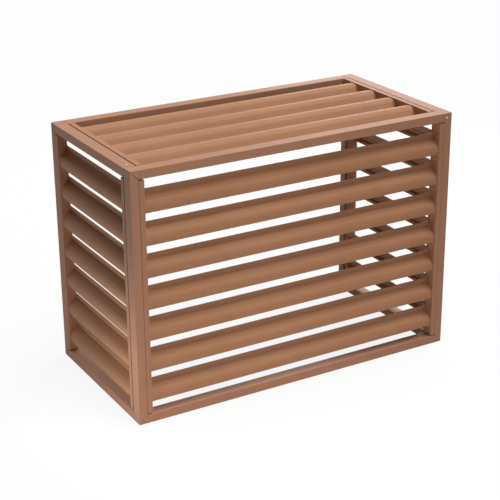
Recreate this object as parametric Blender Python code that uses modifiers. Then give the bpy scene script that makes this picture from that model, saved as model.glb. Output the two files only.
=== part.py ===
# Louvred aluminium cover for an air conditioner's outdoor unit.
# Metres, +Z up. The origin is on the ground under the middle of the cover, and the front faces -Y.
# The middle is that of the whole box, front screw heads included, so the frame stands a little behind it.
# Each wall has an empty on its outer face: local X runs inwards, Y up and Z along the wall.

import math

import bmesh
import bpy
from mathutils import Matrix, Vector

# Overall size
WIDTH = 1.000
DEPTH = 0.500
HEIGHT = 0.710

# Frame bar: a hollow section, its narrow side to the front
BAR_FACE = 0.025
BAR_DEPTH = 0.035
BAR_WALL = 0.0014
BAR_ARRIS = 0.0018
ARRIS_STEPS = 2

# Fits
FIT_GAP = 0.0003
SHANK_CLEARANCE = 0.0003
CUT_OVERRUN = 0.002

# Blade holder: a lipped channel, its web to the blades
STRIP_FACE = 0.015
STRIP_DEPTH = 0.028
STRIP_WALL = 0.002
STRIP_LIP = 0.007
STRIP_END_GAP = 0.003

# Packer: the flat bar in the shadow line between a strip and a bar's narrow side
PACKER_THICKNESS = 0.0025
PACKER_RECESS = 0.003

# Blade: one curved extrusion with a beaded upstand, and two screw ports on its hollow side
BLADE_SHEET = 0.0015
BLADE_RECESS = 0.0025
BLADE_LIP_SETBACK = 0.0015
BLADE_LIP_HEIGHT = 0.0085
BLADE_FACE_HEIGHT = 0.0149
BLADE_BEND_RADIUS = 0.022
BLADE_BEND_ANGLE = math.radians(54)
BLADE_BEND_STEPS = 4
BLADE_FLANK = 0.020
BLADE_UPSTAND = 0.0139
BLADE_BEAD_HEIGHT = 0.0085
BLADE_BEAD_PROUD = 0.0016
BLADE_BEAD_CHAMFER = 0.0005
LOW_PORT_HEIGHT = 0.0117
HIGH_PORT_ALONG_FLANK = 0.0035
PORT_WALL = 0.0012
PORT_FLOOR = 0.0002
PORT_OPENING = math.radians(76)
PORT_STEPS = 6

# Blade rows
WALL_BLADES = 7
WALL_TOP_CLEAR = 0.0354
WALL_BOTTOM_CLEAR = 0.0341
LID_BLADES = 4
LID_REAR_CLEAR = 0.042
LID_FRONT_CLEAR = 0.0447

# Corner connectors: an L in the mitre, and a third leg that goes through a neck into the next rail
CONNECTOR_LEG = 0.055
THIRD_LEG = 0.045
NECK_INSET = 0.006
RAIL_SCREW_INSET = 0.0175
RAIL_SCREW_DROP = 0.013
UPRIGHT_SCREW_DROP = 0.030
UPRIGHT_SCREW_INSET = 0.015
THIRD_SCREW_INSET = 0.018

# Screws and the holes that they pass
FRAME_SHANK = 0.0019
FRAME_SHANK_LENGTH = 0.008
FRAME_HEAD = 0.0032
FRAME_HEAD_HEIGHT = 0.0018
FRAME_HEAD_CHAMFER = 0.0007
FRAME_SIDES = 8
SCREW_SIDES = 16
BLADE_SHANK = 0.0014
BLADE_SIDES = 6

# Sizes that follow from the ones above
FLANK_DIRECTION = Vector((math.sin(BLADE_BEND_ANGLE), math.cos(BLADE_BEND_ANGLE)))
FLANK_TOP = BLADE_FACE_HEIGHT + BLADE_BEND_RADIUS * FLANK_DIRECTION.x + BLADE_FLANK * FLANK_DIRECTION.y
BLADE_HEIGHT = FLANK_TOP + BLADE_UPSTAND
WALL_OPENING = HEIGHT - 2 * BAR_FACE
WALL_PITCH = (WALL_OPENING - WALL_TOP_CLEAR - WALL_BOTTOM_CLEAR - BLADE_HEIGHT) / (WALL_BLADES - 1)
LID_OPENING = DEPTH - 2 * BAR_DEPTH
LID_PITCH = (LID_OPENING - LID_REAR_CLEAR - LID_FRONT_CLEAR - BLADE_HEIGHT) / (LID_BLADES - 1)
PORT_BORE = (BLADE_SHANK + SHANK_CLEARANCE) / math.cos((math.pi - PORT_OPENING / 2) / PORT_STEPS)
UPRIGHT_STRIP_LENGTH = WALL_OPENING - 2 * STRIP_END_GAP
LID_STRIP_LENGTH = LID_OPENING - 2 * STRIP_END_GAP
PACKER_SETBACK = PACKER_THICKNESS + FIT_GAP
FRAME_SHIFT = (FRAME_HEAD_HEIGHT + FIT_GAP) / 2

# Colours, linear
FRAME_BROWN = (0.36, 0.175, 0.105)
STRIP_BROWN = (0.42, 0.21, 0.13)
BLADE_BROWN = (0.40, 0.19, 0.11)
PACKER_BROWN = (0.10, 0.05, 0.035)
NYLON_BLACK = (0.02, 0.02, 0.02)
SCREW_BROWN = (0.50, 0.33, 0.25)

# Turns of a piece in its wall: its own Z up the wall, and its own Z inwards
UPRIGHT = Matrix.Rotation(-math.pi / 2, 4, "X")
FACING = Matrix.Rotation(math.pi / 2, 4, "Y")


def clear_scene():
    for old in list(bpy.data.objects):
        bpy.data.objects.remove(old, do_unlink=True)


def new_collection(name):
    collection = bpy.data.collections.new(name)
    bpy.context.scene.collection.children.link(collection)
    return collection


def new_material(name, colour, roughness, metallic):
    material = bpy.data.materials.new(name)
    material.use_nodes = True
    surface = material.node_tree.nodes["Principled BSDF"]
    surface.inputs["Base Color"].default_value = (*colour, 1)
    surface.inputs["Roughness"].default_value = roughness
    surface.inputs["Metallic"].default_value = metallic
    material.diffuse_color = (*colour, 1)
    return material


def wall_matrix(inward, up, origin):
    inward = Vector(inward)
    up = Vector(up)
    turn = Matrix((inward, up, inward.cross(up))).transposed().to_4x4()
    return Matrix.Translation(origin) @ turn


def new_wall(name, matrix):
    empty = bpy.data.objects.new(name, None)
    empty.location = matrix.to_translation()
    empty.rotation_euler = matrix.to_euler()
    PARTS.objects.link(empty)
    return empty


def place(name, mesh, material, wall, matrix):
    mesh.materials.clear()
    mesh.materials.append(material)
    part = bpy.data.objects.new(name, mesh)
    part.parent = EMPTIES[wall]
    part.location = matrix.to_translation()
    part.rotation_euler = matrix.to_euler()
    PARTS.objects.link(part)
    return part


# A flat outline of closed loops, extruded by the length about its own middle
def extruded(name, loops, length):
    curve = bpy.data.curves.new(name, "CURVE")
    curve.dimensions = "2D"
    curve.fill_mode = "BOTH"
    curve.extrude = length / 2
    for loop in loops:
        spline = curve.splines.new("POLY")
        spline.points.add(len(loop) - 1)
        spline.use_cyclic_u = True
        for point, (x, y) in zip(spline.points, loop):
            point.co = (x, y, 0, 1)
    guide = bpy.data.objects.new(name, curve)
    bpy.context.scene.collection.objects.link(guide)
    mesh = evaluated_mesh(guide)
    bpy.data.objects.remove(guide, do_unlink=True)
    return mesh


def evaluated_mesh(source):
    graph = bpy.context.evaluated_depsgraph_get()
    mesh = bpy.data.meshes.new_from_object(source.evaluated_get(graph))
    mesh.name = source.name
    shape = bmesh.new()
    shape.from_mesh(mesh)
    bmesh.ops.remove_doubles(shape, verts=shape.verts, dist=FIT_GAP / 10)
    bmesh.ops.recalc_face_normals(shape, faces=shape.faces)
    shape.to_mesh(mesh)
    shape.free()
    return mesh


# A hole is its centre and direction in world axes, its depth, the shank it clears and its sides
def cutter(name, holes):
    shape = bmesh.new()
    for centre, direction, depth, shank, sides in holes:
        radius = (shank + SHANK_CLEARANCE) / math.cos(math.pi / sides)
        turn = Vector(direction).to_track_quat("Z", "Y").to_matrix().to_4x4()
        bmesh.ops.create_cone(shape, cap_ends=True, segments=sides, radius1=radius, radius2=radius,
                              depth=depth, matrix=Matrix.Translation(centre) @ turn)
    return tool_object(name, shape)


# Cuts a part with round holes, and with boxes given by wall, centre and size
def drill(part, holes, boxes=()):
    tool = cutter(part.name + "_holes", holes)
    cut(part, "holes", tool, "DIFFERENCE")
    for number, (wall, centre, size) in enumerate(boxes):
        name = "opening_" + str(number)
        cut(part, name, box_tool(part.name + "_" + name, wall, centre, size), "DIFFERENCE")


def cut(part, name, tool, operation):
    modifier = part.modifiers.new(name, "BOOLEAN")
    modifier.object = tool
    modifier.operation = operation
    modifier.solver = "EXACT"


def join(part, name, wall, centre, size):
    cut(part, name, box_tool(part.name + "_" + name, wall, centre, size), "UNION")


def box_tool(name, wall, centre, size):
    shape = bmesh.new()
    bmesh.ops.create_cube(shape, size=1, matrix=Matrix.Diagonal((*size, 1)))
    tool = tool_object(name, shape)
    tool.parent = EMPTIES[wall]
    tool.location = centre
    return tool


def tool_object(name, shape):
    mesh = bpy.data.meshes.new(name)
    shape.to_mesh(mesh)
    shape.free()
    tool = bpy.data.objects.new(name, mesh)
    tool.hide_render = True
    tool.display_type = "WIRE"
    CUTTERS.objects.link(tool)
    return tool


def rectangle(x_low, x_high, y_low, y_high):
    return [(x_low, y_low), (x_high, y_low), (x_high, y_high), (x_low, y_high)]


def rounded_rectangle(x_low, x_high, y_low, y_high, radius, steps):
    corners = [(x_high - radius, y_high - radius), (x_low + radius, y_high - radius),
               (x_low + radius, y_low + radius), (x_high - radius, y_low + radius)]
    loop = []
    for quarter, (x, y) in enumerate(corners):
        for step in range(steps + 1):
            angle = (quarter + step / steps) * math.pi / 2
            loop.append((x + radius * math.cos(angle), y + radius * math.sin(angle)))
    return loop


def bar_mesh(name, length):
    half = BAR_FACE / 2
    outside = rounded_rectangle(0, BAR_DEPTH, -half, half, BAR_ARRIS, ARRIS_STEPS)
    inside = rectangle(BAR_WALL, BAR_DEPTH - BAR_WALL, BAR_WALL - half, half - BAR_WALL)
    return extruded(name, [outside, inside], length)


# Slants the ends of a bar, so that its outer edge keeps the full length
def mitre(mesh, ends, outer_side):
    setback = FIT_GAP / math.sqrt(2)
    for vertex in mesh.vertices:
        end = math.copysign(1, vertex.co.z)
        if end in ends:
            vertex.co.z -= end * (BAR_FACE / 2 - outer_side * vertex.co.y + setback)


# A hole that crosses one thickness of metal, round a shank. Its centre is in the wall's own axes.
def hole(wall, centre, direction, thickness, shank=FRAME_SHANK, sides=FRAME_SIDES):
    return (WALLS[wall] @ Vector(centre), WALLS[wall].to_3x3() @ Vector(direction),
            thickness + 2 * CUT_OVERRUN, shank, sides)


# A blind hole from a face, as deep as a frame screw bites
def screw_seat(wall, point, outward):
    depth = FRAME_SHANK_LENGTH + SHANK_CLEARANCE
    return hole(wall, Vector(point) - depth / 2 * Vector(outward), outward, depth)


# A place near a corner of a wall's frame: how deep, how far from the top or bottom, how far from the end
def near_corner(up_side, end, half_length, depth, drop, inset):
    up = HEIGHT - drop if up_side == 1 else drop
    return Vector((depth, up, end * (half_length - inset)))


# The places and outward directions of the three screws at a corner
def rail_screw(up_side, end, half):
    return near_corner(up_side, end, half, 0, RAIL_SCREW_DROP, RAIL_SCREW_INSET), Vector((-1, 0, 0))


def upright_screw(up_side, end, half, from_edge):
    if from_edge:
        point = near_corner(up_side, end, half, UPRIGHT_SCREW_INSET, UPRIGHT_SCREW_DROP, 0)
        return point, Vector((0, 0, end))
    return near_corner(up_side, end, half, BAR_DEPTH, UPRIGHT_SCREW_DROP, BAR_FACE / 2), Vector((1, 0, 0))


def third_screw(up_side, end, half, face):
    depth = BAR_DEPTH + FIT_GAP + THIRD_SCREW_INSET
    if face == "room":
        return near_corner(up_side, end, half, depth, BAR_FACE / 2, BAR_DEPTH), Vector((0, 0, -end))
    drop, outward = (0, up_side) if face == "outer" else (BAR_FACE, -up_side)
    return near_corner(up_side, end, half, depth, drop, BAR_DEPTH / 2), Vector((0, outward, 0))


# The third leg's screw sits where it can be reached, and never under the cover
def third_face(wall, up_side):
    if wall != "front":
        return "below"
    return "outer" if up_side == 1 else "room"


def neck_size(clearance):
    return Vector((0, BAR_FACE - 2 * NECK_INSET + 2 * clearance, BAR_DEPTH - 2 * NECK_INSET + 2 * clearance))


# The opening for a connector's neck in the inner wall of a bar
def neck_opening(wall, up_side, end, half):
    centre = near_corner(up_side, end, half, BAR_DEPTH - BAR_WALL / 2, BAR_FACE / 2, BAR_DEPTH / 2)
    size = neck_size(FIT_GAP) + Vector((BAR_WALL + 2 * CUT_OVERRUN, 0, 0))
    return (wall, centre, size)


# Where the lips of a row's blades stand, lowest first
def blade_rows(first, pitch, count):
    return [first + pitch * row for row in range(count)]


def upright_rows():
    return blade_rows(BAR_FACE + WALL_BOTTOM_CLEAR, WALL_PITCH, WALL_BLADES)


# The lid's rows run from its rear to its front
def lid_rows():
    return blade_rows(BAR_DEPTH + LID_REAR_CLEAR - DEPTH / 2, LID_PITCH, LID_BLADES)


# Two strip screws to a strip: by the last blade and by the first
def strip_screw_rows(rows, pitch):
    below_lip = (pitch - BLADE_HEIGHT) / 2
    return [rows[1] - below_lip, rows[-1] - below_lip]


# The outer face of a blade from its lip to the end of its bend: places and the normals to its hollow side
def blade_stations():
    stations = [(Vector((BLADE_RECESS + BLADE_LIP_SETBACK, 0)), Vector((1, 0))),
                (Vector((BLADE_RECESS, BLADE_LIP_HEIGHT)), Vector((1, 0)))]
    centre = Vector((BLADE_RECESS + BLADE_BEND_RADIUS, BLADE_FACE_HEIGHT))
    for step in range(BLADE_BEND_STEPS + 1):
        angle = math.pi - BLADE_BEND_ANGLE * step / BLADE_BEND_STEPS
        spoke = Vector((math.cos(angle), math.sin(angle)))
        stations.append((centre + BLADE_BEND_RADIUS * spoke, -spoke))
    return stations


def port_centres():
    offset = BLADE_SHEET + PORT_FLOOR + PORT_BORE
    low_normal = Vector((1, 0))
    low = Vector((BLADE_RECESS, LOW_PORT_HEIGHT)) + offset * low_normal
    bend_end, high_normal = blade_stations()[-1]
    high = bend_end + HIGH_PORT_ALONG_FLANK * FLANK_DIRECTION + offset * high_normal
    return [(low, low_normal), (high, high_normal)]


# One C-shaped screw port, met while the outline runs down the hollow side
def port_outline(centre, normal):
    back = Vector((-normal.y, normal.x))
    ring = PORT_BORE + PORT_WALL
    foot = math.acos(-(PORT_BORE + PORT_FLOOR) / ring)
    mouth = PORT_OPENING / 2

    def at(radius, angle):
        return centre + radius * (math.cos(angle) * normal + math.sin(angle) * back)

    claw = [at(ring, foot), at(ring, (foot + mouth) / 2), at(ring, mouth)]
    bore = []
    for step in range(PORT_STEPS + 1):
        bore.append(at(PORT_BORE, mouth + (2 * math.pi - 2 * mouth) * step / PORT_STEPS))
    other_claw = [at(ring, -mouth), at(ring, -(foot + mouth) / 2), at(ring, -foot)]
    return claw + bore + other_claw


# The upstand from its foot on the flank, over the bead and down its back to the flank's hollow side
def upstand_outline(foot):
    chamfer = BLADE_BEAD_CHAMFER
    bead_foot = BLADE_HEIGHT - BLADE_BEAD_HEIGHT
    front = foot.x - BLADE_BEAD_PROUD
    back = foot.x + BLADE_SHEET
    points = [(foot.x, foot.y), (foot.x, bead_foot), (front + chamfer, bead_foot), (front, bead_foot + chamfer),
              (front, BLADE_HEIGHT - chamfer), (front + chamfer, BLADE_HEIGHT), (back, BLADE_HEIGHT),
              (back, foot.y - BLADE_SHEET * math.tan(BLADE_BEND_ANGLE / 2))]
    return [Vector(point) for point in points]


def blade_outline():
    stations = blade_stations()
    flank_end = stations[-1][0] + BLADE_FLANK * FLANK_DIRECTION
    outer = [point for point, inward in stations] + upstand_outline(flank_end)
    hollow = [point + BLADE_SHEET * inward for point, inward in stations]
    low_port, high_port = port_centres()
    down = port_outline(*high_port) + hollow[:1:-1]
    down += port_outline(*low_port) + hollow[1::-1]
    return outer + down


# The channel's outline, with its web on the side of +Y or -Y
def strip_outline(web_side):
    lip = STRIP_LIP
    deep = STRIP_DEPTH
    wall = STRIP_WALL
    web = STRIP_FACE
    points = [(lip, 0), (0, 0), (0, web), (deep, web), (deep, 0), (deep - lip, 0),
              (deep - lip, wall), (deep - wall, wall), (deep - wall, web - wall),
              (wall, web - wall), (wall, wall), (lip, wall)]
    return [(x, web_side * (across - web / 2)) for x, across in points]


def screw_mesh(name):
    outline = [(0, FRAME_HEAD_HEIGHT), (FRAME_HEAD - FRAME_HEAD_CHAMFER, FRAME_HEAD_HEIGHT),
               (FRAME_HEAD, FRAME_HEAD_HEIGHT - FRAME_HEAD_CHAMFER), (FRAME_HEAD, 0), (FRAME_SHANK, 0),
               (FRAME_SHANK, -FRAME_SHANK_LENGTH), (0, -FRAME_SHANK_LENGTH)]
    profile = bpy.data.meshes.new(name)
    points = [(radius, 0, height) for radius, height in outline]
    profile.from_pydata(points, [(low, low + 1) for low in range(len(points) - 1)], [])
    guide = bpy.data.objects.new(name, profile)
    bpy.context.scene.collection.objects.link(guide)
    turn = guide.modifiers.new("turn", "SCREW")
    turn.steps = SCREW_SIDES
    turn.render_steps = SCREW_SIDES
    turn.use_merge_vertices = True
    turn.merge_threshold = FIT_GAP / 10
    mesh = evaluated_mesh(guide)
    bpy.data.objects.remove(guide, do_unlink=True)
    mesh.shade_smooth()
    mesh.set_sharp_from_angle(angle=math.radians(40))
    return mesh


def upright_bar(name, wall, end, half_length):
    mesh = bar_mesh(name, HEIGHT)
    mitre(mesh, (-1, 1), -end)
    along = end * (half_length - BAR_FACE / 2)
    return place(name, mesh, FRAME_PAINT, wall, Matrix.Translation((0, HEIGHT / 2, along)) @ UPRIGHT)


def front_frame():
    half = WIDTH / 2
    for name, side in (("front_rail_top", 1), ("front_rail_bottom", -1)):
        mesh = bar_mesh(name, WIDTH)
        mitre(mesh, (-1, 1), side)
        up = HEIGHT / 2 + side * (HEIGHT / 2 - BAR_FACE / 2)
        rail = place(name, mesh, FRAME_PAINT, "front", Matrix.Translation((0, up, 0)))
        holes = []
        necks = []
        for end in (-1, 1):
            point, outward = rail_screw(side, end, half)
            holes.append(hole("front", point - BAR_WALL / 2 * outward, outward, BAR_WALL))
            necks.append(neck_opening("front", side, end, half))
        drill(rail, holes, necks)
    for name, end in (("front_stile_left", -1), ("front_stile_right", 1)):
        stile = upright_bar(name, "front", end, half)
        holes = []
        necks = []
        for row in strip_screw_rows(upright_rows(), WALL_PITCH):
            inner = (STRIP_DEPTH / 2, row, end * (half - BAR_FACE + BAR_WALL / 2))
            behind = (BAR_DEPTH - BAR_WALL / 2, row, end * (half - STRIP_DEPTH / 2))
            holes.append(hole("front", inner, (0, 0, 1), BAR_WALL))
            holes.append(hole("front", behind, (1, 0, 0), BAR_WALL))
        for up_side in (-1, 1):
            point, outward = upright_screw(up_side, end, half, True)
            holes.append(hole("front", point - BAR_WALL / 2 * outward, outward, BAR_WALL))
            necks.append(neck_opening("front", up_side, end, half))
        drill(stile, holes, necks)


# The left and right frames. rear is the end of the wall's own Z at which the rear post stands.
def side_frame(wall, rear):
    half = DEPTH / 2
    front_end = 1 if wall == "right" else -1
    length = DEPTH - BAR_DEPTH - FIT_GAP
    middle = rear * (half - length / 2)
    for part, side in (("rail_top", 1), ("rail_bottom", -1)):
        name = wall + "_" + part
        mesh = bar_mesh(name, length)
        mitre(mesh, (rear,), side)
        up = HEIGHT / 2 + side * (HEIGHT / 2 - BAR_FACE / 2)
        rail = place(name, mesh, FRAME_PAINT, wall, Matrix.Translation((0, up, middle)))
        point, outward = rail_screw(side, rear, half)
        holes = [hole(wall, point - BAR_WALL / 2 * outward, outward, BAR_WALL)]
        point, outward = third_screw(side, front_end, WIDTH / 2, third_face("front", side))
        holes.append(hole("front", point - BAR_WALL / 2 * outward, outward, BAR_WALL))
        necks = []
        if side == 1:
            necks.append(neck_opening(wall, side, rear, half))
            for row in strip_screw_rows(lid_rows(), LID_PITCH):
                along = front_end * -(WIDTH / 2 - BAR_DEPTH + BAR_WALL / 2)
                holes.append(hole("top", (STRIP_DEPTH / 2, row, along), (0, 0, 1), BAR_WALL))
        drill(rail, holes, necks)
    post = upright_bar(wall + "_rear_post", wall, rear, half)
    holes = []
    for row in strip_screw_rows(upright_rows(), WALL_PITCH):
        inner = (STRIP_DEPTH / 2, row, rear * (half - BAR_FACE + BAR_WALL / 2))
        holes.append(hole(wall, inner, (0, 0, 1), BAR_WALL))
    for up_side in (-1, 1):
        point, outward = upright_screw(up_side, rear, half, False)
        holes.append(hole(wall, point - BAR_WALL / 2 * outward, outward, BAR_WALL))
    drill(post, holes, [neck_opening(wall, 1, rear, half)])


def rear_rail():
    length = WIDTH - 2 * (BAR_DEPTH + FIT_GAP)
    mesh = bar_mesh("rear_rail_top", length)
    up = HEIGHT - BAR_FACE / 2
    rail = place("rear_rail_top", mesh, FRAME_PAINT, "rear", Matrix.Translation((0, up, 0)))
    holes = []
    for wall, rear in SIDES:
        point, outward = third_screw(1, rear, DEPTH / 2, third_face(wall, 1))
        holes.append(hole(wall, point - BAR_WALL / 2 * outward, outward, BAR_WALL))
    drill(rail, holes)


# One strip in a wall, at its place along the wall, drilled for its blades and for its own screws
def strip(name, wall, along, middle, length, rows, screw_rows):
    web_side = math.copysign(1, along)
    mesh = extruded(name, [strip_outline(web_side)], length)
    part = place(name, mesh, STRIP_PAINT, wall, Matrix.Translation((0, middle, along)) @ UPRIGHT)
    web = along - web_side * (STRIP_FACE - STRIP_WALL) / 2
    holes = []
    for row in rows:
        for centre, normal in port_centres():
            point = (centre.x, row + centre.y, web)
            holes.append(hole(wall, point, (0, 0, 1), STRIP_WALL, BLADE_SHANK, BLADE_SIDES))
    for row in screw_rows:
        holes.append(hole(wall, (STRIP_DEPTH / 2, row, web), (0, 0, 1), STRIP_WALL))
    drill(part, holes)


# The packer of the strip at this place, on the strip's outer side
def packer(name, wall, along, middle, length, screw_rows):
    half = PACKER_THICKNESS / 2
    place_along = along + math.copysign(STRIP_FACE / 2 + FIT_GAP + half, along)
    mesh = extruded(name, [rectangle(PACKER_RECESS, BAR_FACE - PACKER_RECESS, -half, half)], length)
    part = place(name, mesh, PACKER_PAINT, wall, Matrix.Translation((0, middle, place_along)) @ UPRIGHT)
    holes = []
    for row in screw_rows:
        holes.append(hole(wall, (STRIP_DEPTH / 2, row, place_along), (0, 0, 1), PACKER_THICKNESS))
    drill(part, holes)


# A row of blades between two webs, numbered in the order given
def blade_row(wall, rows, webs):
    low, high = sorted(webs)
    mesh = extruded(wall + "_blade", [blade_outline()], high - low - 2 * FIT_GAP)
    mesh.shade_smooth()
    mesh.set_sharp_from_angle(angle=math.radians(25))
    for number, row in enumerate(rows, start=1):
        matrix = Matrix.Translation((0, row, (low + high) / 2))
        place(wall + "_blade_" + str(number), mesh, BLADE_PAINT, wall, matrix)


def front_louvre():
    rows = upright_rows()
    screw_rows = strip_screw_rows(rows, WALL_PITCH)
    along = WIDTH / 2 - BAR_FACE - FIT_GAP - STRIP_FACE / 2
    strip("front_strip_left", "front", -along, HEIGHT / 2, UPRIGHT_STRIP_LENGTH, rows, screw_rows)
    strip("front_strip_right", "front", along, HEIGHT / 2, UPRIGHT_STRIP_LENGTH, rows, screw_rows)
    web = along - STRIP_FACE / 2
    blade_row("front", rows[::-1], (-web, web))


def side_louvre(wall, rear):
    rows = upright_rows()
    screw_rows = strip_screw_rows(rows, WALL_PITCH)
    rear_along = rear * (DEPTH / 2 - BAR_FACE - FIT_GAP - STRIP_FACE / 2)
    front_along = -rear * (DEPTH / 2 - BAR_DEPTH - FIT_GAP - PACKER_SETBACK - STRIP_FACE / 2)
    strip(wall + "_strip_rear", wall, rear_along, HEIGHT / 2, UPRIGHT_STRIP_LENGTH, rows, screw_rows)
    strip(wall + "_strip_front", wall, front_along, HEIGHT / 2, UPRIGHT_STRIP_LENGTH, rows, screw_rows)
    packer(wall + "_packer", wall, front_along, HEIGHT / 2, UPRIGHT_STRIP_LENGTH, screw_rows)
    webs = (rear_along - rear * STRIP_FACE / 2, front_along + rear * STRIP_FACE / 2)
    blade_row(wall, rows[::-1], webs)


def lid_louvre():
    rows = lid_rows()
    screw_rows = strip_screw_rows(rows, LID_PITCH)
    reach = WIDTH / 2 - BAR_DEPTH - FIT_GAP - PACKER_SETBACK - STRIP_FACE / 2
    for side, along in (("left", reach), ("right", -reach)):
        strip("top_strip_" + side, "top", along, 0, LID_STRIP_LENGTH, rows, screw_rows)
        packer("top_packer_" + side, "top", along, 0, LID_STRIP_LENGTH, screw_rows)
    web = reach - STRIP_FACE / 2
    blade_row("top", rows, (-web, web))


# A block in a mitred corner: two legs in the frame's plane and, where a rail joins behind, a third
def connector(name, wall, up_side, end, half, third_leg):
    near = BAR_WALL + FIT_GAP
    far = BAR_FACE - near
    leg = CONNECTOR_LEG
    shape = [(near, near), (leg, near), (leg, far), (far, far), (far, leg), (near, leg)]
    loop = [(end * inset, -up_side * drop) for inset, drop in shape]
    mesh = extruded(name, [loop], BAR_DEPTH - 2 * near)
    corner = near_corner(up_side, end, half, BAR_DEPTH / 2, 0, 0)
    block = place(name, mesh, NYLON, wall, Matrix.Translation(corner) @ FACING)
    holes = [screw_seat(wall, *rail_screw(up_side, end, half)),
             screw_seat(wall, *upright_screw(up_side, end, half, wall == "front"))]
    if third_leg:
        start = BAR_DEPTH + FIT_GAP
        neck_low = BAR_DEPTH - near - CUT_OVERRUN
        neck_high = start + CUT_OVERRUN
        neck = near_corner(up_side, end, half, (neck_low + neck_high) / 2, BAR_FACE / 2, BAR_DEPTH / 2)
        join(block, "neck", wall, neck, neck_size(0) + Vector((neck_high - neck_low, 0, 0)))
        leg_centre = near_corner(up_side, end, half, start + THIRD_LEG / 2, BAR_FACE / 2, BAR_DEPTH / 2)
        join(block, "leg", wall, leg_centre, Vector((THIRD_LEG, BAR_FACE - 2 * near, BAR_DEPTH - 2 * near)))
        holes.append(screw_seat(wall, *third_screw(up_side, end, half, third_face(wall, up_side))))
    drill(block, holes)


def connectors():
    for up_side, level in ((1, "top"), (-1, "bottom")):
        for end, side in ((-1, "left"), (1, "right")):
            connector("front_connector_" + level + "_" + side, "front", up_side, end, WIDTH / 2, True)
        for wall, rear in SIDES:
            connector("rear_connector_" + level + "_" + wall, wall, up_side, rear, DEPTH / 2, up_side == 1)


def front_corner_screws():
    mesh = screw_mesh("corner_screw")
    for up_side, level in ((1, "top"), (-1, "bottom")):
        for end, side in ((-1, "left"), (1, "right")):
            point, outward = rail_screw(up_side, end, WIDTH / 2)
            turn = outward.to_track_quat("Z", "Y").to_matrix().to_4x4()
            matrix = Matrix.Translation(point + FIT_GAP * outward) @ turn
            place("front_corner_screw_" + level + "_" + side, mesh, SCREW_PAINT, "front", matrix)


clear_scene()
PARTS = new_collection("air_conditioner_screen")
CUTTERS = new_collection("cutters")

FRAME_PAINT = new_material("frame_powder_coat", FRAME_BROWN, 0.45, 0.0)
STRIP_PAINT = new_material("strip_powder_coat", STRIP_BROWN, 0.45, 0.0)
BLADE_PAINT = new_material("blade_powder_coat", BLADE_BROWN, 0.42, 0.0)
PACKER_PAINT = new_material("packer_dark_coat", PACKER_BROWN, 0.7, 0.0)
NYLON = new_material("connector_black_nylon", NYLON_BLACK, 0.6, 0.0)
SCREW_PAINT = new_material("screw_brown_head", SCREW_BROWN, 0.35, 0.0)

WALLS = {
    "front": wall_matrix((0, 1, 0), (0, 0, 1), (0, FRAME_SHIFT - DEPTH / 2, 0)),
    "left": wall_matrix((1, 0, 0), (0, 0, 1), (-WIDTH / 2, FRAME_SHIFT, 0)),
    "right": wall_matrix((-1, 0, 0), (0, 0, 1), (WIDTH / 2, FRAME_SHIFT, 0)),
    "rear": wall_matrix((0, -1, 0), (0, 0, 1), (0, FRAME_SHIFT + DEPTH / 2, 0)),
    "top": wall_matrix((0, 0, -1), (0, -1, 0), (0, FRAME_SHIFT, HEIGHT)),
}
EMPTIES = {name: new_wall(name + "_wall", matrix) for name, matrix in WALLS.items()}
SIDES = (("left", -1), ("right", 1))

front_frame()
for side_name, rear_end in SIDES:
    side_frame(side_name, rear_end)
rear_rail()
front_louvre()
for side_name, rear_end in SIDES:
    side_louvre(side_name, rear_end)
lid_louvre()
connectors()
front_corner_screws()
bpy.context.view_layer.update()
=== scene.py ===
import math

import bmesh
import bpy
from mathutils import Matrix, Vector


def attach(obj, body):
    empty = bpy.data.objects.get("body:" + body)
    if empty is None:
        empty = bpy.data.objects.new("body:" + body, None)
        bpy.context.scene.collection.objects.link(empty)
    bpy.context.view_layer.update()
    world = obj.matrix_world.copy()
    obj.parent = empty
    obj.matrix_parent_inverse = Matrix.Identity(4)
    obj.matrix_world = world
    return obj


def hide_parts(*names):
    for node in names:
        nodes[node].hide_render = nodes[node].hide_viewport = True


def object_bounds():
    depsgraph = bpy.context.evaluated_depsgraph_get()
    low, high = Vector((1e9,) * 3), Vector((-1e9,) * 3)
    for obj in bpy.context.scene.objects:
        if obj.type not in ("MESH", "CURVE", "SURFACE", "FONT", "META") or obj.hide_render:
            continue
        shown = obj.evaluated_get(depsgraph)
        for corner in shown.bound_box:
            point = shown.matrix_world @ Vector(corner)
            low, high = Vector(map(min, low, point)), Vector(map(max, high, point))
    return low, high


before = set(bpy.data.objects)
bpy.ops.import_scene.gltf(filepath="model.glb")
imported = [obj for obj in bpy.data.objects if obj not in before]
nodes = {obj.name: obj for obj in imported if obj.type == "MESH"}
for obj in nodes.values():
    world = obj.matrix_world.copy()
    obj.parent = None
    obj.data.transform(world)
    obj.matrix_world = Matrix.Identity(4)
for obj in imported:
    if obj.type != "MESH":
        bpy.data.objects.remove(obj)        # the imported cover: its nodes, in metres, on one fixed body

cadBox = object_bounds()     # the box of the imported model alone
mm = 0.001
body = "root"

# The cover inside that box: only the heads of its front corner screws stand out from its faces
headsOut = 2.1 * mm
boxSize = [round(high - low, 4) for low, high in zip(*cadBox)]
coverSize = {"width": boxSize[0], "depth": boxSize[1] - headsOut, "height": boxSize[2], "shift": headsOut / 2}
height, shift = coverSize["height"], coverSize["shift"]
halfWidth, halfDepth, halfHeight = coverSize["width"] / 2, coverSize["depth"] / 2, height / 2


# Small helpers
def linear(hexColour):   # an sRGB hex colour, as the linear values that a socket takes
    parts = [int(hexColour[i:i + 2], 16) / 255 for i in (1, 3, 5)]
    return [v / 12.92 if v <= 0.04045 else ((v + 0.055) / 1.055) ** 2.4 for v in parts] + [1.0]


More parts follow.
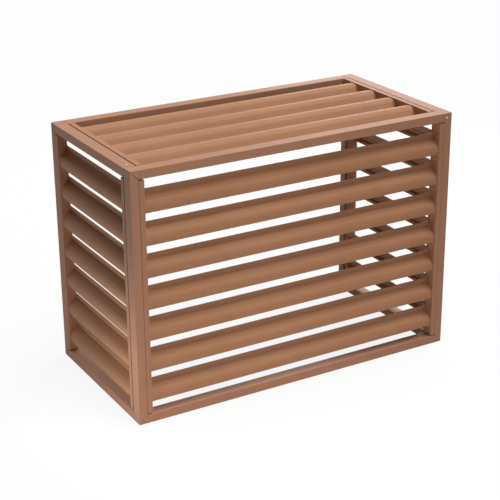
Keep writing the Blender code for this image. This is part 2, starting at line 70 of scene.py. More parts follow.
def addNode(tree, kind, settings=None, links=None):   # one node, with its settings and links
    node = tree.nodes.new(kind)
    for name, value in (settings or {}).items():
        if isinstance(name, int) or name in node.inputs:
            node.inputs[name].default_value = value
        else:
            setattr(node, name, value)
    for name, source in (links or {}).items():
        tree.links.new(source, node.inputs[name])
    return node


def newMaterial(name):
    material = bpy.data.materials.new(name)
    material.use_nodes = True
    material.node_tree.nodes.clear()
    return material, material.node_tree


# Powder-coated aluminium extrusion: satin paint, cured into a faint orange peel. The die lines of the metal
# below show along it as weak streaks, and the coat is thinner and paler over the sharp edges. Die lines are
# some 0.2 mm apart and the thin edge is 0.1 mm wide, both too fine to show, so they are drawn coarser here.
coatLook = {
    "frame": {"colour": "#B38266", "shade": "#A7775C", "edge": "#CDA086", "roughness": 0.48},
    "strip": {"colour": "#B28064", "shade": "#A6755A", "edge": "#C99C82", "roughness": 0.50},
    "blade": {"colour": "#B4815F", "shade": "#A87655", "edge": "#C89A7B", "roughness": 0.52},
    "ior": 1.5, "specular": 0.2, "glossTones": (0.3, 0.7), "glossSpread": (-0.05, 0.06),
    "cloud": 95 * mm, "cloudShare": 0.6, "tones": (0.55, 1.05),
    "streak": 1.6 * mm, "streakLength": 260 * mm, "streakRelief": 0.05, "streakDepth": 0.03 * mm,
    "peel": 2.2 * mm, "peelRelief": 0.10, "peelDepth": 0.05 * mm,
    "edgeWidth": 0.9 * mm, "edgeSamples": 4, "edgeBend": (0.995, 0.80), "edgeWear": 0.55,
}


def powderCoat(name, look):
    material, tree = newMaterial(name)
    place = addNode(tree, "ShaderNodeTexCoord").outputs["Object"]
    across, along = 1 / coatLook["streak"], 1 / coatLook["streakLength"]
    drawn = addNode(tree, "ShaderNodeMapping", {"Scale": (across, across, along)}, {"Vector": place})
    streak = addNode(tree, "ShaderNodeTexNoise", {"Scale": 1.0, "Detail": 2.0},
                     {"Vector": drawn.outputs[0]}).outputs["Fac"]
    cloud = addNode(tree, "ShaderNodeTexNoise", {"Scale": 1 / coatLook["cloud"], "Detail": 3.0},
                    {"Vector": place}).outputs["Fac"]
    peel = addNode(tree, "ShaderNodeTexNoise", {"Scale": 1 / coatLook["peel"], "Detail": 1.5},
                   {"Vector": place}).outputs["Fac"]

    darkest, palest = coatLook["tones"]
    blotch = addNode(tree, "ShaderNodeMath", {"operation": "MULTIPLY_ADD", 1: coatLook["cloudShare"]},
                     {0: cloud, 2: streak})
    tone = addNode(tree, "ShaderNodeMapRange", {"From Min": darkest, "From Max": palest},
                   {"Value": blotch.outputs[0]})
    colour = addNode(tree, "ShaderNodeMix", {"data_type": "RGBA", 6: linear(look["shade"]),
                     7: linear(look["colour"])}, {0: tone.outputs[0]})

    roundNormal = addNode(tree, "ShaderNodeBevel", {"samples": coatLook["edgeSamples"],
                          "Radius": coatLook["edgeWidth"]})
    flatNormal = addNode(tree, "ShaderNodeNewGeometry")
    facing = addNode(tree, "ShaderNodeVectorMath", {"operation": "DOT_PRODUCT"},
                     {0: roundNormal.outputs[0], 1: flatNormal.outputs["Normal"]})
    flat, bent = coatLook["edgeBend"]
    worn = addNode(tree, "ShaderNodeMapRange", {"From Min": flat, "From Max": bent,
                   "To Max": coatLook["edgeWear"]}, {"Value": facing.outputs["Value"]})
    edged = addNode(tree, "ShaderNodeMix", {"data_type": "RGBA", 7: linear(look["edge"])},
                    {0: worn.outputs[0], 6: colour.outputs[2]})

    low, high = coatLook["glossTones"]
    shiny, dull = (look["roughness"] + spread for spread in coatLook["glossSpread"])
    gloss = addNode(tree, "ShaderNodeMapRange", {"From Min": low, "From Max": high, "To Min": shiny,
                    "To Max": dull}, {"Value": streak})
    relief = addNode(tree, "ShaderNodeBump", {"Strength": coatLook["peelRelief"],
                     "Distance": coatLook["peelDepth"]}, {"Height": peel})
    lines = addNode(tree, "ShaderNodeBump", {"Strength": coatLook["streakRelief"],
                    "Distance": coatLook["streakDepth"]}, {"Height": streak, "Normal": relief.outputs[0]})
    shader = addNode(tree, "ShaderNodeBsdfPrincipled", {"IOR": coatLook["ior"],
                     "Specular IOR Level": coatLook["specular"]}, {"Base Color": edged.outputs[2],
                     "Roughness": gloss.outputs[0], "Normal": lines.outputs[0]})
    addNode(tree, "ShaderNodeOutputMaterial", {}, {"Surface": shader.outputs[0]})
    return material


def grainyFinish(name, look):   # two tones and a low relief, both from one fine grain
    material, tree = newMaterial(name)
    place = addNode(tree, "ShaderNodeTexCoord").outputs["Object"]
    grain = addNode(tree, "ShaderNodeTexNoise", {"Scale": 1 / look["grain"], "Detail": look["detail"]},
                    {"Vector": place}).outputs["Fac"]
    share = addNode(tree, "ShaderNodeMapRange", {"From Min": look["tones"][0], "From Max": look["tones"][1]},
                    {"Value": grain})
    colour = addNode(tree, "ShaderNodeMix", {"data_type": "RGBA", 6: linear(look["ground"]),
                     7: linear(look["fleck"])}, {0: share.outputs[0]})
    relief = addNode(tree, "ShaderNodeBump", {"Strength": look["relief"], "Distance": look["depth"]},
                     {"Height": grain})
    shader = addNode(tree, "ShaderNodeBsdfPrincipled", {"IOR": look["ior"], "Roughness": look["roughness"]},
                     {"Base Color": colour.outputs[2], "Normal": relief.outputs[0]})
    addNode(tree, "ShaderNodeOutputMaterial", {}, {"Surface": shader.outputs[0]})
    return material


# Black glass-filled nylon, moulded: dull, with a grain from the fibres. They are about 0.01 mm thick, too
# fine to show, so the grain is drawn 0.8 mm wide.
nylonLook = {"ground": "#1C1B1B", "fleck": "#2A2928", "tones": (0, 1), "grain": 0.8 * mm, "detail": 3.0,
             "relief": 0.25, "depth": 0.05 * mm, "ior": 1.53, "roughness": 0.62}

# Aluminium flat bar with a dark matt coat, which is painted shade: the bar only fills the shadow line beside
# a strip, and its dark tone stands in for the shade in that recess. The coat's grain is about 0.1 mm, too
# fine to show, and is drawn 0.7 mm wide.
packerShadeLook = {"ground": "#684735", "fleck": "#7A5540", "tones": (0, 1), "grain": 0.7 * mm, "detail": 2.0,
              "relief": 0.1, "depth": 0.03 * mm, "ior": 1.5, "roughness": 0.55}

# Zinc-plated steel screws, sprayed to match: the driver leaves pale patches about 1 mm wide on most heads.
# A few heads are painted near white instead, as painted highlights, and show as light dots
screwLook = {"tones": (0.58, 0.72), "grain": 1.1 * mm, "detail": 2.0, "relief": 0.12, "depth": 0.03 * mm,
             "ior": 1.5, "roughness": 0.36}
sprayedScrew = {**screwLook, "ground": "#B5876B", "fleck": "#CDB5A4"}
screwGlintLook = {**screwLook, "ground": "#EADBCF", "fleck": "#D2CFC9"}

frameCoat = powderCoat("powderCoatedAluminiumFrame", coatLook["frame"])
stripCoat = powderCoat("powderCoatedAluminiumStrip", coatLook["strip"])
bladeCoat = powderCoat("powderCoatedAluminiumBlade", coatLook["blade"])
nylon = grainyFinish("mouldedBlackNylon", nylonLook)
packerPaintedShade = grainyFinish("packerPaintedShadowLine", packerShadeLook)
screwPaint = grainyFinish("sprayedSteelScrew", sprayedScrew)
screwPaintedGlint = grainyFinish("screwHeadPaintedGlint", screwGlintLook)
print("finishes made")


# Walls, and the shapes that the pieces share
def wallAxes(inward, up, origin):   # a wall's own axes: X inwards, Y up the wall, Z along it
    inward, up = Vector(inward), Vector(up)
    return Matrix.Translation(origin) @ Matrix((inward, up, inward.cross(up))).transposed().to_4x4()


walls = {
    "front": wallAxes((0, 1, 0), (0, 0, 1), (0, shift - halfDepth, 0)),
    "left": wallAxes((1, 0, 0), (0, 0, 1), (-halfWidth, shift, 0)),
    "right": wallAxes((-1, 0, 0), (0, 0, 1), (halfWidth, shift, 0)),
    "rear": wallAxes((0, -1, 0), (0, 0, 1), (0, shift + halfDepth, 0)),
    "top": wallAxes((0, 0, -1), (0, -1, 0), (0, shift, height)),
}
uprightTurn = Matrix.Rotation(-math.pi / 2, 4, "X")   # a piece's own length, turned up the wall
levels = (("Top", 1), ("Bottom", -1))
sides = (("left", -1), ("right", 1))   # the end of the front's Z at this side, also the side's Z at its rear


def roundedOutline(points, steps):   # points are (x, y, radius); each corner with a radius is rounded off
    outline = []
    for index, (x, y, radius) in enumerate(points):
        corner = Vector((x, y))
        if radius == 0:
            outline.append(corner)
            continue
        before = (Vector(points[index - 1][:2]) - corner).normalized()
        after = (Vector(points[(index + 1) % len(points)][:2]) - corner).normalized()
        half = before.angle(after) / 2
        centre = corner + (before + after).normalized() * radius / math.sin(half)
        first = corner + before * radius / math.tan(half) - centre
        last = corner + after * radius / math.tan(half) - centre
        swing = first.angle_signed(last)   # clockwise is positive here
        for step in range(steps + 1):
            outline.append(centre + Matrix.Rotation(-swing * step / steps, 2) @ first)
    return outline


def softEnd(radius, steps):   # how far back, and how far inwards, each ring of a rounded end lies
    turns = [math.pi / 2 * step / steps for step in range(steps, -1, -1)]
    return [(radius * (1 - math.sin(turn)), radius * (1 - math.cos(turn))) for turn in turns]


def endRings(length, stack):   # the rings at both ends of a length; the stack is (how far back, outline)
    rings = []
    for end, ordered in ((-1, stack), (1, stack[::-1])):
        for back, outline in ordered:
            rings.append([(point.x, point.y, end * (length / 2 - back)) for point in outline])
    return rings


def loft(rings, endless=False):   # closed rings of points, joined in order; the two ends are capped, or meet
    shape = bmesh.new()
    made = [[shape.verts.new(point) for point in ring] for ring in rings]
    if endless:
        made.append(made[0])
    for low, high in zip(made, made[1:]):
        for index in range(len(low)):
            after = (index + 1) % len(low)
            shape.faces.new((low[index], low[after], high[after], high[index]))
    if not endless:
        shape.faces.new(made[0][::-1])
        shape.faces.new(made[-1])
    return shape


def finishMesh(name, shape, sharpAngle=32):   # an edge that bends by more degrees than this stays sharp
    bmesh.ops.recalc_face_normals(shape, faces=shape.faces)
    mesh = bpy.data.meshes.new(name)
    shape.to_mesh(mesh)
    shape.free()
    mesh.shade_smooth()
    mesh.set_sharp_from_angle(angle=math.radians(sharpAngle))
    return mesh


def placePiece(name, mesh, matrix, material, replaced=()):
    if not mesh.materials:
        mesh.materials.append(material)
    piece = bpy.data.objects.new(name, mesh)
    bpy.context.scene.collection.objects.link(piece)
    piece.matrix_world = matrix
    even = piece.modifiers.new("evenNormals", "WEIGHTED_NORMAL")   # keeps the wide faces flat to the light
    even.keep_sharp = True
    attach(piece, body)
    if replaced:
        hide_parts(*replaced)


# Frame bars: the hollow section that every wall is framed with. The gap is the fit where bars meet, and the
# seam of a mitre is drawn wider than it, so that its dark line shows.
bar = {"face": 25 * mm, "deep": 35 * mm, "wall": 1.4 * mm, "arris": 1.8 * mm, "arrisSteps": 5,
       "boreArris": 0.6 * mm, "endRound": 0.7 * mm, "endSteps": 2, "gap": 0.3 * mm, "seam": 0.6 * mm}


def barOutline(inset, radius):   # the bar's outline across, drawn in by the inset
    half = bar["face"] / 2 - inset
    near, far = inset, bar["deep"] - inset
    return roundedOutline([(far, half, radius), (near, half, radius), (near, -half, radius),
                           (far, -half, radius)], bar["arrisSteps"])


def barMesh(name, length, mitred, outerSide):   # a hollow bar; a mitred end leaves its outer side long
    bore = barOutline(bar["wall"], bar["boreArris"])
    outer = [(back, barOutline(inset, bar["arris"] - inset))
             for back, inset in softEnd(bar["endRound"], bar["endSteps"])]
    shape = loft(endRings(length, [(0, bore)] + outer), endless=True)
    setback = bar["seam"] / math.sqrt(2)   # half of the seam's width, measured along the bar
    for vertex in shape.verts:
        end = math.copysign(1, vertex.co.z)
        if end in mitred:
            vertex.co.z -= end * (bar["face"] / 2 - outerSide * vertex.co.y + setback)
    return finishMesh(name, shape)


def placeBar(name, wall, length, mitred, outerSide, matrix, node):
    mesh = barMesh(name, length, mitred, outerSide)
    placePiece(name, mesh, walls[wall] @ matrix, frameCoat, [node])


def placeUpright(name, wall, end, halfLength, node):
    along = end * (halfLength - bar["face"] / 2)
    matrix = Matrix.Translation((0, halfHeight, along)) @ uprightTurn
    placeBar(name, wall, height, (-1, 1), -end, matrix, node)


def railLevel(side):   # the middle height of a rail, at the top for side 1 and at the bottom for side -1
    return halfHeight + side * (halfHeight - bar["face"] / 2)


sideLength = coverSize["depth"] - bar["deep"] - bar["gap"]
rearLength = coverSize["width"] - 2 * (bar["deep"] + bar["gap"])
for level, side in levels:
    placeBar("frontRail" + level, "front", coverSize["width"], (-1, 1), side,
             Matrix.Translation((0, railLevel(side), 0)), "front_rail_" + level.lower())
for hand, end in sides:
    placeUpright("frontStile" + hand.title(), "front", end, halfWidth, "front_stile_" + hand)
    placeUpright(hand + "RearPost", hand, end, halfDepth, hand + "_rear_post")
    for level, side in levels:
        placeBar(hand + "Rail" + level, hand, sideLength, (end,), side,
                 Matrix.Translation((0, railLevel(side), end * (halfDepth - sideLength / 2))),
                 hand + "_rail_" + level.lower())
placeBar("rearRailTop", "rear", rearLength, (), 1, Matrix.Translation((0, railLevel(1), 0)), "rear_rail_top")
print("frame bars made")


# Blade holders: lipped channels, their web to the blades. The end gap is the slit at each corner.
strip = {"face": 15 * mm, "deep": 28 * mm, "wall": 2 * mm, "lip": 7 * mm, "round": 0.5 * mm,
         "roundSteps": 3, "endGap": 3 * mm, "endRound": 0.25 * mm,
         "packerRoom": 2.8 * mm}   # the packer between a strip and a bar's narrow side, with its fit
halfStrip = strip["face"] / 2


def stripOutline(webSide, inset):   # the channel across; its web stands on the side of the blades
    deep, face = strip["deep"], strip["face"]
    lip, wall = strip["lip"] - inset, strip["wall"] - inset
    outerRound, innerRound = strip["round"] - inset / 2, strip["round"] / 2
    lower = [(wall, face - wall, innerRound), (wall, wall, innerRound), (lip, wall, outerRound / 2),
             (lip, inset, outerRound / 2), (inset, inset, outerRound), (inset, face - inset, outerRound)]
    upper = [(deep - x, y, radius) for x, y, radius in lower[::-1]]
    return [Vector((point.x, webSide * (point.y - face / 2)))
            for point in roundedOutline(lower + upper, strip["roundSteps"])]


def stripMesh(name, webSide, length):
    inset = strip["endRound"]
    stack = [(0, stripOutline(webSide, inset)), (inset, stripOutline(webSide, 0))]
    return finishMesh(name, loft(endRings(length, stack)))


def placeStrip(name, wall, along, middle, length, node):
    mesh = stripMesh(name, math.copysign(1, along), length)
    matrix = walls[wall] @ Matrix.Translation((0, middle, along)) @ uprightTurn
    placePiece(name, mesh, matrix, stripCoat, [node])


wallStrip = height - 2 * bar["face"] - 2 * strip["endGap"]
lidStrip = coverSize["depth"] - 2 * bar["deep"] - 2 * strip["endGap"]
# How far the middle of a strip stands from the middle of its wall
frontReach = halfWidth - bar["face"] - bar["gap"] - halfStrip
sideRearReach = halfDepth - bar["face"] - bar["gap"] - halfStrip
sideFrontReach = halfDepth - bar["deep"] - bar["gap"] - strip["packerRoom"] - halfStrip
lidReach = halfWidth - bar["deep"] - bar["gap"] - strip["packerRoom"] - halfStrip
stripPlaces = []   # wall, place along it, middle, length, piece and node; the screws use them again
for hand, end in sides:
    stripPlaces += [
        ("front", end * frontReach, halfHeight, wallStrip, "frontStrip" + hand.title(),
         "front_strip_" + hand),
        (hand, end * sideRearReach, halfHeight, wallStrip, hand + "StripRear", hand + "_strip_rear"),
        (hand, -end * sideFrontReach, halfHeight, wallStrip, hand + "StripFront", hand + "_strip_front"),
        ("top", -end * lidReach, 0, lidStrip, "lidStrip" + hand.title(), "top_strip_" + hand),
    ]
for wall, along, middle, length, name, node in stripPlaces:
    placeStrip(name, wall, along, middle, length, node)
print("blade holders made")


# Blades: lip, upright face, bend, sloping flank, and an upstand with a bead along its top. The recess is how
# far the face lies behind the wall's front, and the bend angle how far the flank leans back.
blade = {"sheet": 1.5 * mm, "recess": 2.5 * mm, "lipSetback": 1.5 * mm, "lipHeight": 8.5 * mm,
         "lipRound": 5 * mm, "faceHeight": 14.9 * mm, "bendRadius": 22 * mm, "bendAngle": math.radians(54),
         "bendSteps": 14, "flank": 20 * mm, "crease": 1.2 * mm, "upstand": 13.9 * mm, "beadHeight": 8.5 * mm,
         "beadProud": 1.6 * mm, "edge": 0.45 * mm, "roundSteps": 3, "sharpAngle": 24}
# Two C-shaped ports for screws run along the hollow side: the low one is placed up from the lip, the high
# one up the flank from its bend, and the axis is how far in the middle of a bore lies
port = {"bore": 1.75 * mm, "wall": 1.2 * mm, "axis": 2.06 * mm, "mouth": math.radians(76),
        "low": 11.7 * mm, "high": 3.5 * mm, "boreSteps": 14, "wallSteps": 5}
# How many blades a wall has, and the room below the first and above the last
rows = {"wall": {"count": 7, "below": 34.1 * mm, "above": 35.4 * mm},
        "lid": {"count": 4, "below": 42 * mm, "above": 44.7 * mm}}
flankWay = Vector((math.sin(blade["bendAngle"]), math.cos(blade["bendAngle"])))
flankTop = blade["faceHeight"] + blade["bendRadius"] * flankWay.x + blade["flank"] * flankWay.y
bladeHeight = flankTop + blade["upstand"]


def spreadRows(look, low, high):   # the blades' lower edges, evenly between two rails, and their spacing
    first, last = low + look["below"], high - look["above"] - bladeHeight
    pitch = (last - first) / (look["count"] - 1)
    return [first + pitch * row for row in range(look["count"])], pitch


def bendPoints():   # the outer face round its bend: places, and the ways to the hollow side
    centre = Vector((blade["recess"] + blade["bendRadius"], blade["faceHeight"]))
    found = []
    for step in range(blade["bendSteps"] + 1):
        angle = math.pi - blade["bendAngle"] * step / blade["bendSteps"]
        spoke = Vector((math.cos(angle), math.sin(angle)))
        found.append((centre + blade["bendRadius"] * spoke, -spoke))
    return found


def portCentres():   # low and high port: the middle of the bore, and the way inwards from the sheet
    offset = blade["sheet"] + port["axis"]
    low = Vector((blade["recess"] + offset, port["low"]))
    bendEnd, inward = bendPoints()[-1]
    return [(low, Vector((1, 0))), (bendEnd + port["high"] * flankWay + offset * inward, inward)]


def portOutline(centre, inward):   # one port, met while running down the hollow side
    back = Vector((-inward.y, inward.x))
    ring = port["bore"] + port["wall"]
    foot = math.acos(-port["axis"] / ring)
    mouth = port["mouth"] / 2

    def arc(radius, start, stop, steps):
        angles = [start + (stop - start) * step / steps for step in range(steps + 1)]
        return [centre + radius * (math.cos(a) * inward + math.sin(a) * back) for a in angles]

    return (arc(ring, foot, mouth, port["wallSteps"])
            + arc(port["bore"], mouth, 2 * math.pi - mouth, port["boreSteps"])
            + arc(ring, -mouth, -foot, port["wallSteps"]))


def bladeOutline():
    small, sheet = blade["edge"], blade["sheet"]
    bend = bendPoints()
    flankEnd = bend[-1][0] + blade["flank"] * flankWay
    lip = Vector((blade["recess"] + blade["lipSetback"], 0))
    knee = Vector((blade["recess"], blade["lipHeight"]))
    across = Vector((sheet, 0))
    beadFoot = bladeHeight - blade["beadHeight"]
    front, back = flankEnd.x - blade["beadProud"], flankEnd.x + sheet
    innerCrease = flankEnd.y - sheet * math.tan(blade["bendAngle"] / 2)
    lowPort, highPort = portCentres()
    points = [(*lip, small), (*knee, blade["lipRound"])]
    points += [(*point, 0) for point, inward in bend]
    points += [(*flankEnd, blade["crease"]), (flankEnd.x, beadFoot, small), (front, beadFoot, small),
               (front, bladeHeight, small), (back, bladeHeight, small), (back, innerCrease, small)]
    points += [(*point, 0) for point in portOutline(*highPort)]
    points += [(*(point + sheet * inward), 0) for point, inward in bend[::-1]]
    points += [(*point, 0) for point in portOutline(*lowPort)]
    points += [(*(knee + across), blade["lipRound"] / 2), (*(lip + across), small)]
    return roundedOutline(points, blade["roundSteps"])


def placeRow(title, wall, places, webs):   # one row of equal blades between two webs
    low, high = sorted(webs)
    length = high - low - 2 * bar["gap"]
    mesh = finishMesh(title, loft(endRings(length, [(0, bladeOutline())])), blade["sharpAngle"])
    for number, row in enumerate(places, start=1):
        matrix = walls[wall] @ Matrix.Translation((0, row, (low + high) / 2))
        node = wall + "_blade_" + str(number)
        placePiece(title + str(number), mesh, matrix, bladeCoat, [node])


wallRows, wallPitch = spreadRows(rows["wall"], bar["face"], height - bar["face"])
lidRows, lidPitch = spreadRows(rows["lid"], bar["deep"] - halfDepth, halfDepth - bar["deep"])
placeRow("frontBlade", "front", wallRows[::-1], (halfStrip - frontReach, frontReach - halfStrip))
for hand, end in sides:
    webs = (end * (sideRearReach - halfStrip), end * (halfStrip - sideFrontReach))
    placeRow(hand + "Blade", hand, wallRows[::-1], webs)
placeRow("lidBlade", "top", lidRows, (halfStrip - lidReach, lidReach - halfStrip))
print("blades made")


# Screws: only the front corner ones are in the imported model, the others are made here
frameScrew = {"head": 3.2 * mm, "rise": 1.8 * mm, "rim": 0.5 * mm, "shank": 1.9 * mm, "shankLength": 8 * mm,
              "recess": 1.3 * mm, "slot": 0.32 * mm, "recessDepth": 0.8 * mm}
bladeScrew = {"head": 2.7 * mm, "rise": 1.6 * mm, "rim": 0.45 * mm, "shank": 1.4 * mm,
              "shankLength": 12 * mm, "recess": 1.3 * mm, "slot": 0.4 * mm, "recessDepth": 1.0 * mm}
# Shared by all: the rim draws in a hair, a fuller dome has a lower power, the recess narrows to its floor
screwForm = {"roundSteps": 28, "domeSteps": 7, "rimDraft": 0.999, "domePower": 0.8, "recessFloor": 0.55,
             "sharpAngle": 35, "turnEach": 2.4}   # each screw is turned on from the last by this, in radians


def screwMesh(name, look):   # a pan head with a cross recess, on a shank; its head sits on the face at zero
    turns = [math.pi / 2 * step / screwForm["domeSteps"] for step in range(screwForm["domeSteps"])]
    domeRise = look["rise"] - look["rim"]
    dome = [(look["head"] * math.cos(a) * screwForm["rimDraft"],
             look["rim"] + domeRise * math.sin(a) ** screwForm["domePower"]) for a in turns]
    profile = [(look["shank"], -look["shankLength"]), (look["shank"], 0), (look["head"], 0)] + dome
    around = [2 * math.pi * step / screwForm["roundSteps"] for step in range(screwForm["roundSteps"])]
    rings = [[(r * math.cos(a), r * math.sin(a), z) for a in around] for r, z in profile]
    screw = bpy.data.objects.new(name, finishMesh(name, loft(rings)))
    cross = bmesh.new()
    lengths = Matrix.Diagonal((2 * look["recess"], 2 * look["slot"], 2 * look["recessDepth"], 1))
    for turn in (0, math.pi / 2):
        place = Matrix.Translation((0, 0, look["rise"])) @ Matrix.Rotation(turn, 4, "Z") @ lengths
        bmesh.ops.create_cube(cross, size=1, matrix=place)
    for vertex in cross.verts:
        if vertex.co.z < look["rise"]:
            vertex.co.x *= screwForm["recessFloor"]
            vertex.co.y *= screwForm["recessFloor"]
    tool = bpy.data.objects.new(name + "Cross", finishMesh(name + "Cross", cross))
    for made in (screw, tool):
        bpy.context.scene.collection.objects.link(made)
    driven = screw.modifiers.new("recess", "BOOLEAN")
    driven.object = tool
    driven.solver = "EXACT"
    driven.use_self = True
    graph = bpy.context.evaluated_depsgraph_get()
    mesh = bpy.data.meshes.new_from_object(screw.evaluated_get(graph))
    for made in (screw, tool):
        bpy.data.objects.remove(made, do_unlink=True)
    return mesh


def screwTurn(wall, point, outward, count):   # where a screw stands, and how far it is driven round
    world = walls[wall].to_3x3() @ Vector(outward)
    turn = world.to_track_quat("Z", "Y").to_matrix().to_4x4()
    driven = Matrix.Rotation(screwForm["turnEach"] * count, 4, "Z")
    return Matrix.Translation(walls[wall] @ Vector(point)) @ turn @ driven


def scatterScrews(name, template, places, replaced=(), finish=screwPaint):   # one piece from many screws
    shape = bmesh.new()
    for count, (wall, point, outward) in enumerate(places):
        copy = template.copy()
        copy.transform(screwTurn(wall, point, outward, count))
        shape.from_mesh(copy)
        bpy.data.meshes.remove(copy)
    mesh = finishMesh(name, shape, screwForm["sharpAngle"])
    placePiece(name, mesh, Matrix.Identity(4), finish, replaced)


# Where the frame screws stand: a drop is from the frame's top or bottom, an inset from its end
screwPlaces = {"railDrop": 13 * mm, "railInset": 17.5 * mm, "uprightDrop": 30 * mm, "uprightDeep": 15 * mm,
               "thirdInset": 18 * mm, "clear": 0.3 * mm}
# This head and the two on the lid are painted near white, as painted highlights
glintCorner = ("Top", "right")   # this head and the two on the lid show as light dots


def cornerPoint(upSide, end, halfLength, deep, drop, inset):   # a place near a wall's corner, in its own axes
    return Vector((deep, height - drop if upSide == 1 else drop, end * (halfLength - inset)))


frameScrewMesh = screwMesh("frameScrew", frameScrew)
bladeScrewMesh = screwMesh("bladeScrew", bladeScrew)
clear, face, deep = screwPlaces["clear"], bar["face"], bar["deep"]
railDrop, railInset = screwPlaces["railDrop"], screwPlaces["railInset"]
uprightDrop, uprightDeep = screwPlaces["uprightDrop"], screwPlaces["uprightDeep"]
thirdDeep = deep + clear + screwPlaces["thirdInset"]   # over the third leg of a corner connector
sideScrews, lidScrews = {"left": [], "right": []}, []
for level, side in levels:
    for hand, end in sides:
        corner = cornerPoint(side, end, halfWidth, -clear, railDrop, railInset)
        finish = screwPaintedGlint if (level, hand) == glintCorner else screwPaint
        scatterScrews("frontCornerScrew" + level + hand.title(), frameScrewMesh,
                      [("front", corner, (-1, 0, 0))],
                      ["front_corner_screw_" + level.lower() + "_" + hand], finish)
        stile = cornerPoint(side, end, halfWidth, uprightDeep, uprightDrop, -clear)
        outside = cornerPoint(side, end, halfDepth, -clear, railDrop, railInset)
        inside = cornerPoint(side, end, halfDepth, deep + clear, uprightDrop, face / 2)
        sideScrews[hand] += [("front", stile, (0, 0, end)), (hand, outside, (-1, 0, 0)),
                             (hand, inside, (1, 0, 0))]
        if side == 1:
            lid = cornerPoint(1, end, halfWidth, thirdDeep, -clear, deep / 2)
            lidScrews.append(("front", lid, (0, 1, 0)))
            under = cornerPoint(1, end, halfDepth, thirdDeep, face + clear, deep / 2)
            sideScrews[hand].append((hand, under, (0, -1, 0)))
        else:
            low = cornerPoint(-1, end, halfWidth, thirdDeep, face / 2, deep + clear)
            sideScrews[hand].append(("front", low, (0, 0, -end)))
for hand, found in sideScrews.items():
    scatterScrews(hand + "FrameScrews", frameScrewMesh, found)
# The lid's screw heads are painted near white, as painted highlights
scatterScrews("lidFrameScrews", frameScrewMesh, lidScrews, (), screwPaintedGlint)

# A strip is screwed to the frame between its first two blades and between its last two; a blade is held by
# both of its ports, through the strip
stripScrews, bladeScrews = {}, {}
for wall, along, middle, length, name, node in stripPlaces:
    places, pitch = (lidRows, lidPitch) if wall == "top" else (wallRows, wallPitch)
    way = math.copysign(1, along)
    web = along - way * halfStrip
    for row in (places[1], places[-1]):
        point = (strip["deep"] / 2, row - (pitch - bladeHeight) / 2, web - way * clear)
        stripScrews.setdefault(wall, []).append((wall, point, (0, 0, -way)))
    for row in places:
        for centre, inward in portCentres():
            point = (centre.x, row + centre.y, web + way * (strip["wall"] + clear))
            bladeScrews.setdefault(wall, []).append((wall, point, (0, 0, way)))
for wall in stripScrews:
    scatterScrews(wall + "StripScrews", frameScrewMesh, stripScrews[wall])
    scatterScrews(wall + "BladeScrews", bladeScrewMesh, bladeScrews[wall])
print("screws made")


# The packers and corner connectors keep their imported shapes
# The packers' dark coat is painted shade, for the shadow line they sit in
keptFinishes = {"packer": (packerPaintedShade, "packer_coat"), "connector": (nylon, "connector_nylon")}
for name, node in nodes.items():
    for word, (material, slot) in keptFinishes.items():
        if word in name:
            node.data.materials.clear()
            node.data.materials.append(material)
print("packers and connectors finished")


# Studio: a broad key light from nearly overhead, and a floor with a painted pool of light that throws light
# up at
# the walls: to rays other than the eye's the floor is painted white near the object and grey further off. The
# painted pool has its middle by the near corner, and its two radii say where it begins and ends to fade, in
# metres.
studio = {"floor": "#F2F1EF", "far": "#8A8783", "white": "#FFFFFF", "middle": (-0.35, -0.45, 0),
          "paintedLightPool": (0.5, 1.2), "lift": 0.88, "reach": 40, "drop": 0.5 * mm, "sky": 0.06,
          "key": {"from": (0.28, -0.15, 1.0), "power": 3.1, "angle": 56}}
# One soft box evens the front, a small low one at the left lights the post and the rail, one fills the back
softBoxes = {
    "frontSoftBox": {"at": (-0.25, -1.30, 0.95), "to": (-0.12, -0.20, 0.45), "size": 0.60, "power": 2.6},
    "lowSoftBox": {"at": (-0.80, -0.27, 0.16), "to": (-0.50, -0.22, 0.16), "size": 0.16, "power": 0.60},
    "rearSoftBox": {"at": (1.50, 1.60, 0.90), "to": (0.20, 0.25, 0.35), "size": 0.90, "power": 10.0},
}
floorColour, farFloorPaintedShade, white = (linear(studio[name]) for name in ("floor", "far", "white"))


def seenByEye(tree):   # one for a ray from the camera, straight or by way of something shiny or clear
    path = addNode(tree, "ShaderNodeLightPath").outputs
    seen = path["Is Camera Ray"]
    for ray in ("Is Glossy Ray", "Is Transmission Ray"):
        either = addNode(tree, "ShaderNodeMath", {"operation": "MAXIMUM"}, {0: seen, 1: path[ray]})
        seen = either.outputs[0]
    return seen


reach = studio["reach"]
floorMesh = bpy.data.meshes.new("floor")
floorMesh.from_pydata([(-reach, -reach, 0), (reach, -reach, 0), (reach, reach, 0), (-reach, reach, 0)],
                      [], [(0, 1, 2, 3)])
floor = bpy.data.objects.new("floor", floorMesh)
bpy.context.scene.collection.objects.link(floor)
floor.location.z = -studio["drop"]

# Matt white studio floor with the painted pool of light: the walls get the light of its pool, less so higher
# up, and the eye sees one white floor, with a shadow that is mostly lifted
floorPaint, tree = newMaterial("mattWhiteStudioFloor")
place = addNode(tree, "ShaderNodeTexCoord").outputs["Object"]
away = addNode(tree, "ShaderNodeVectorMath", {"operation": "DISTANCE", 1: studio["middle"]}, {0: place})
fade = addNode(tree, "ShaderNodeMapRange", {"From Min": studio["paintedLightPool"][0], "From Max": studio["paintedLightPool"][1]},
               {"Value": away.outputs["Value"]})
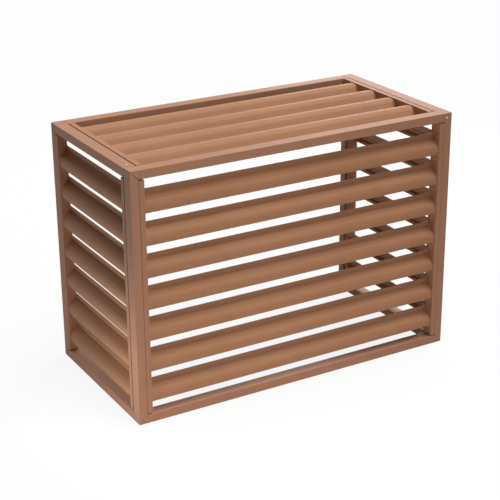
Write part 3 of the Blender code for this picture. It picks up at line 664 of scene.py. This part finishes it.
# Painted pool of light: the floor colour near the object, fading to painted shade further off
paintedPoolColour = addNode(tree, "ShaderNodeMix", {"data_type": "RGBA", 6: floorColour, 7: farFloorPaintedShade},
                 {0: fade.outputs[0]})
paintedLightPool = addNode(tree, "ShaderNodeBsdfDiffuse", {}, {"Color": paintedPoolColour.outputs[2]})
paint = addNode(tree, "ShaderNodeBsdfDiffuse", {"Color": floorColour})
glow = addNode(tree, "ShaderNodeEmission", {"Color": white, "Strength": 1.0})
lifted = addNode(tree, "ShaderNodeMixShader", {0: studio["lift"]}, {1: paint.outputs[0], 2: glow.outputs[0]})
shown = addNode(tree, "ShaderNodeMixShader", {},
                {0: seenByEye(tree), 1: paintedLightPool.outputs[0], 2: lifted.outputs[0]})
addNode(tree, "ShaderNodeOutputMaterial", {}, {"Surface": shown.outputs[0]})
floorMesh.materials.append(floorPaint)

# The room gives only a faint light, and looks plain white
world = bpy.data.worlds.new("studio")
bpy.context.scene.world = world
world.use_nodes = True
sky = world.node_tree
sky.nodes.clear()
faint = addNode(sky, "ShaderNodeBackground", {"Color": white, "Strength": studio["sky"]})
plain = addNode(sky, "ShaderNodeBackground", {"Color": white, "Strength": 1.0})
both = addNode(sky, "ShaderNodeMixShader", {}, {0: seenByEye(sky), 1: faint.outputs[0], 2: plain.outputs[0]})
addNode(sky, "ShaderNodeOutputWorld", {}, {"Surface": both.outputs[0]})

key = studio["key"]
sun = bpy.data.objects.new("keyLight", bpy.data.lights.new("keyLight", "SUN"))
sun.data.energy = key["power"]
sun.data.angle = math.radians(key["angle"])
sun.rotation_euler = Vector(key["from"]).to_track_quat("Z", "Y").to_euler()
bpy.context.scene.collection.objects.link(sun)

for name, box in softBoxes.items():
    lamp = bpy.data.objects.new(name, bpy.data.lights.new(name, "AREA"))
    lamp.data.energy = box["power"]
    lamp.data.size = box["size"]
    lamp.location = box["at"]
    lamp.rotation_euler = (Vector(box["at"]) - Vector(box["to"])).to_track_quat("Z", "Y").to_euler()
    bpy.context.scene.collection.objects.link(lamp)

# The camera where the photo was taken from: turned to the right, tipped down and rolled, in degrees
view = {"place": (-1.835, -3.142, 1.784), "turn": 30.10, "drop": 22.02, "roll": -0.41, "lens": 97.85,
        "sensor": 36}
camera = bpy.data.objects.new("camera", bpy.data.cameras.new("camera"))
bpy.context.scene.collection.objects.link(camera)
bpy.context.scene.camera = camera
camera.data.sensor_width = view["sensor"]
camera.data.lens = view["lens"]
turn, drop, roll = (math.radians(view[name]) for name in ("turn", "drop", "roll"))
look = Vector((math.sin(turn) * math.cos(drop), math.cos(turn) * math.cos(drop), -math.sin(drop)))
levelRight = Vector((math.cos(turn), -math.sin(turn), 0))
levelUp = levelRight.cross(look)
rightWay = levelRight * math.cos(roll) + levelUp * math.sin(roll)
upWay = levelUp * math.cos(roll) - levelRight * math.sin(roll)
axes = Matrix((rightWay, upWay, -look)).transposed().to_4x4()
camera.matrix_world = Matrix.Translation(view["place"]) @ axes

bpy.context.scene.view_settings.view_transform = "Standard"
print("floor, light and camera set")
